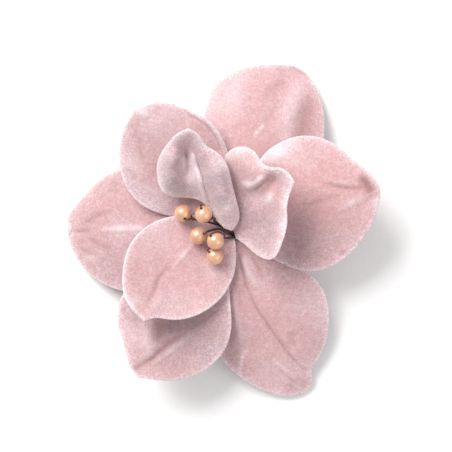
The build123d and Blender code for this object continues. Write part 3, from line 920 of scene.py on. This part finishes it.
BINDING_TOP, BINDING_RADIUS, THREAD_STEP = CORE_TOP + 3.2, 1.53, 0.42
thread_height = np.linspace(CORE_TOP, BINDING_TOP, 150)
thread_profile = np.concatenate([
    [[0, CORE_TOP]], np.stack([np.full(150, BINDING_RADIUS), thread_height], axis=1),
    [[0.7, BINDING_TOP + 0.2], [0, BINDING_TOP]],
])
thread_rings = turned_rings(
    thread_profile, (0, 0, 0), (0, 0, 1), 48,
    lambda a, h: 1 + 0.055 * (np.abs(np.sin(np.pi * h / THREAD_STEP - a / 2)) - 1),
)
add_piece(ringed_mesh("thread_binding", thread_rings), thread_finish(), "stem_binding")


# %% Clear glue
def glue_finish():
    material, place = new_material(
        "glue", Roughness=0.12, IOR=1.48, Transmission_Weight=0.9, Base_Color=(0.93, 0.88, 0.84, 1)
    )
    ripple = noise(place, 420.0, 3.0, 0.5)
    return finish(material, Roughness=between(ripple, 0.3, 0.7, 0.06, 0.3), bump=(0.35, 0.0003, ripple))


GLUE_BORE, GLUE_WALL, GLUE_HEIGHT = 1.8, 1.5, 3.6
q = np.linspace(0, np.pi / 2, 24)
glue_outside = np.stack([GLUE_BORE + GLUE_WALL * np.cos(q) ** 0.8, CORE_TOP + GLUE_HEIGHT * np.sin(q)], axis=1)
glue_inside = np.stack([np.full(10, GLUE_BORE), np.linspace(CORE_TOP + 3.5, CORE_TOP, 10)], axis=1)
glue_rings = turned_rings(
    np.concatenate([glue_outside, glue_inside]), (0, 0, 0), (0, 0, 1), 96,
    lambda a, h: 1 + (0.07 * np.sin(3 * a + 0.8) + 0.04 * np.sin(7 * a)) * (h < CORE_TOP + 3.45),
)
glue_angle = np.arctan2(glue_rings[..., 1], glue_rings[..., 0])
glue_rings[..., 2] += (glue_rings[..., 2] - CORE_TOP) * 0.16 * np.cos(glue_angle - 2.3)
add_piece(ringed_mesh("glue", glue_rings, loop=True), glue_finish(), "glue_plug")


# %% [markdown]
# ## Felt back and core disc
# The back is a punched disc of wool felt with a fuzzy edge. Felt has no weave, only fibres lying every way,
# so its bump is noise stretched along two directions. The core is stiff card, which nobody sees, so it
# keeps its CAD shape.

# %% Felt
def felt_finish():
    material, place = new_material("felt", Roughness=0.95, Specular_IOR_Level=0.15, Sheen_Weight=0.5)
    lengthwise = node("ShaderNodeMapping", Scale=(1.0, 0.18, 1.0), Rotation=(0, 0, 0.6), Vector=place)
    crosswise = node("ShaderNodeMapping", Scale=(0.2, 1.0, 1.0), Rotation=(0, 0, 0.3), Vector=place)
    fibres = calc("MAXIMUM", noise(lengthwise.outputs[0], 5200.0), noise(crosswise.outputs[0], 4300.0))
    clouds = noise(place, 240.0)
    colour = blend_colour(between(fibres, 0.4, 0.75), (0.50, 0.33, 0.33, 1), (0.72, 0.52, 0.52, 1))
    colour = blend_colour(between(clouds, 0.35, 0.65, 0.0, 0.3), colour, (0.62, 0.42, 0.42, 1))
    height = calc("ADD", fibres, calc("MULTIPLY", clouds, 0.5))
    return finish(material, Base_Color=colour, bump=(0.7, 0.0003, height))


FELT_UNDER, FELT_RADIUS, FELT_ROUND, FELT_HALF = 12.8, 19.9, 0.7, 0.75
across = np.linspace(0, FELT_RADIUS - FELT_ROUND, 40)[:, None]
q = np.linspace(-np.pi / 2, np.pi / 2, 14)[1:-1]
felt_rim = np.stack([
    FELT_RADIUS - FELT_ROUND + FELT_ROUND * np.cos(q), FELT_UNDER + FELT_HALF + FELT_HALF * np.sin(q),
], axis=1)
felt_profile = np.concatenate([
    np.hstack([across, np.full((40, 1), FELT_UNDER)]), felt_rim,
    np.hstack([across[::-1], np.full((40, 1), FELT_UNDER + 2 * FELT_HALF)]),
])
fuzz = np.random.default_rng(4).normal(0, 0.006, (1, 240))
felt_rings = turned_rings(
    felt_profile, (0, 0, 0), (0, 0, 1), 240,
    lambda a, h: 1 + 0.003 * np.sin(5 * a) + fuzz * np.exp(-((h - FELT_UNDER - FELT_HALF) / 0.5) ** 2),
)
felt = add_piece(ringed_mesh("felt_disc", felt_rings), felt_finish(), "felt_back")


# %% Card
def card_finish():
    material, place = new_material("core_card", Roughness=0.85)
    plies = node("ShaderNodeMapping", Scale=(0.08, 0.08, 1.0), Vector=place).outputs[0]
    layers = noise(plies, 5200.0, 2.0)
    flecks = noise(place, 3000.0, 2.0)
    colour = blend_colour(between(layers, 0.35, 0.65), (0.50, 0.46, 0.42, 1), (0.70, 0.67, 0.62, 1))
    colour = blend_colour(between(flecks, 0.62, 0.7, 0.0, 0.5), colour, (0.33, 0.29, 0.25, 1))
    return finish(material, Base_Color=colour, bump=(0.35, 0.0001, layers))


def refinish(name, material):
    """Gives a CAD node a finish of its own, in every slot that it has."""
    slots = frame["nodes"][name].material_slots
    if not slots:
        frame["nodes"][name].data.materials.append(material)
    for slot in slots:
        slot.material = material
    print(f"{name}: {material.name}")


refinish("core_disc", card_finish())


# %% [markdown]
# ## The clip's metal
# The arms are taken as nickel-plated spring steel: bright, with drawing lines along the strip, cloudy
# patches and tiny scratches. The pin is turned steel, with lines round it, and the spring is darker wire.

# %% Steel finishes
def steel_finish(name, bright, dull, stretch, scratch, roughness):
    material, place = new_material(name, Metallic=1.0, Anisotropic=0.3)
    drawn = node("ShaderNodeMapping", Scale=stretch, Vector=place).outputs[0]
    lines = noise(drawn, 3200.0, 3.0, 0.6)
    clouds = noise(place, 130.0, 4.0, 0.6)
    marks = between(noise(drawn, scratch, 2.0, 0.5), 0.64, 0.70)
    colour = blend_colour(between(clouds, 0.35, 0.7), bright, dull)
    colour = blend_colour(calc("MULTIPLY", marks, 0.4), colour, dull)
    rough = calc("ADD", between(lines, 0.3, 0.7, roughness - 0.05, roughness + 0.08),
                 between(clouds, 0.4, 0.75, 0.0, 0.12))
    height = calc("SUBTRACT", lines, calc("MULTIPLY", marks, 0.8))
    return finish(material, Base_Color=colour, Roughness=rough, bump=(0.18, 0.00006, height))


clip_steel = steel_finish(
    "clip_steel", (0.78, 0.77, 0.74, 1), (0.60, 0.58, 0.55, 1), (0.05, 1.0, 1.0), 900.0, 0.24
)
refinish("clip_upper_arm", clip_steel)
refinish("clip_lower_arm", clip_steel)
refinish("hinge_pin", steel_finish(
    "pin_steel", (0.70, 0.69, 0.67, 1), (0.50, 0.48, 0.46, 1), (1.0, 0.05, 1.0), 1400.0, 0.3
))


# %% [markdown]
# ## The torsion spring
# The coil sits on the pin, and its two straight legs press the arms apart behind the hinge. It is one
# tube: a coil along the pin that turns from the upper arm's angle to the lower arm's, with a straight leg
# at each end.

# %% Spring
hinge = np.array(frame["joints"][0]["pos_m"]) / MM - [*HUB, 0]
print(f"hinge at {hinge.round(2)} mm from the hub")
COIL, SPRING_WIRE, PITCH, TURNS = 1.5, 0.35, 0.98, 4.5
LEG_UP, LEG_DOWN = np.radians(6.43), np.radians(-24.6)
turning = 2 * np.pi * TURNS + LEG_DOWN - LEG_UP
coil_length = turning / (2 * np.pi) * PITCH
phase = np.pi / 2 + LEG_UP + np.linspace(0, turning, 420)
coil = np.stack([
    hinge[0] + COIL * np.cos(phase), np.linspace(-coil_length / 2, coil_length / 2, 420),
    hinge[2] + COIL * np.sin(phase),
], axis=1)
drift = PITCH / (2 * np.pi * COIL)
leg = np.linspace(11.2, 0.1, 60)[:, None]
upper_leg = coil[0] + leg * [np.cos(LEG_UP), -drift, np.sin(LEG_UP)]
lower_leg = coil[-1] + leg[::-1] * [np.cos(LEG_DOWN), drift, np.sin(LEG_DOWN)]
spring_rings = wire_rings(np.concatenate([upper_leg, coil, lower_leg]), SPRING_WIRE, 14)
spring_steel = steel_finish(
    "spring_steel", (0.36, 0.35, 0.34, 1), (0.22, 0.20, 0.19, 1), (1.0, 1.0, 1.0), 1800.0, 0.28
)
spring_mesh = ringed_mesh("spring", spring_rings)
spring = add_piece(spring_mesh, spring_steel, "torsion_spring", body=None)
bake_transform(spring)


# %% [markdown]
# ## Floor, light and camera
# The flower lies on a plain pale table. A large soft lamp at the upper left gives the shadows, and an even
# sky fills them. The camera looks straight down from far away through a long lens, so that high petals are
# hardly larger than low ones.

# %% Floor
def floor_finish():
    material, place = new_material("floor", Roughness=0.9, Specular_IOR_Level=0.1)
    grain = noise(place, 900.0, 2.0)
    colour = blend_colour(between(grain, 0.3, 0.7), (0.90, 0.90, 0.90, 1), (0.92, 0.92, 0.92, 1))
    return finish(material, Base_Color=colour)


floor_mesh = bpy.data.meshes.new("floor")
FLOOR_HALF, FLOOR_LEVEL = 3, -0.0001
floor_mesh.from_pydata(
    [(FLOOR_HALF * a, FLOOR_HALF * b, FLOOR_LEVEL) for a, b in ((-1, -1), (1, -1), (1, 1), (-1, 1))],
    [], [(0, 1, 2, 3)],
)
floor_mesh.materials.append(floor_finish())
floor = bpy.data.objects.new("floor", floor_mesh)
bpy.context.scene.collection.objects.link(floor)


# %% Lamps, sky and camera
def lamp(name, place, target, size, power, colour):
    """A square area lamp at a place, turned to face its target."""
    data = bpy.data.lights.new(name, "AREA")
    data.size, data.energy, data.color = size, power, colour
    made = bpy.data.objects.new(name, data)
    bpy.context.scene.collection.objects.link(made)
    made.location = place
    made.rotation_euler = (Vector(target) - Vector(place)).to_track_quat("-Z", "Y").to_euler()
    return made


lamp("key lamp", (-0.55, 0.65, 1.0), (0, 0, 0.02), 0.75, 20.0, (1.0, 0.985, 0.97))
lamp("fill lamp", (0.8, -0.5, 0.9), (0, 0, 0.02), 0.9, 4.0, (0.97, 0.98, 1.0))
world = bpy.data.worlds.new("even sky")
world.use_nodes = True
world.node_tree.nodes["Background"].inputs["Color"].default_value = (1.0, 0.995, 0.99, 1)
world.node_tree.nodes["Background"].inputs["Strength"].default_value = 0.62
bpy.context.scene.world = world
bpy.context.scene.view_settings.view_transform = "Standard"

CAMERA_HEIGHT, FRAME_WIDTH, FRAME_LEVEL = 1.6, 0.1582, 0.018
camera_data = bpy.data.cameras.new("camera")
camera_data.sensor_width = 36
camera_data.lens = 36 * (CAMERA_HEIGHT - FRAME_LEVEL) / FRAME_WIDTH
camera = bpy.data.objects.new("camera", camera_data)
bpy.context.scene.collection.objects.link(camera)
camera.location = ((HUB[0] - 3.15) * MM, (HUB[1] + 2.45) * MM, CAMERA_HEIGHT)
bpy.context.scene.camera = camera
print(f"lens {camera_data.lens:.0f} mm")
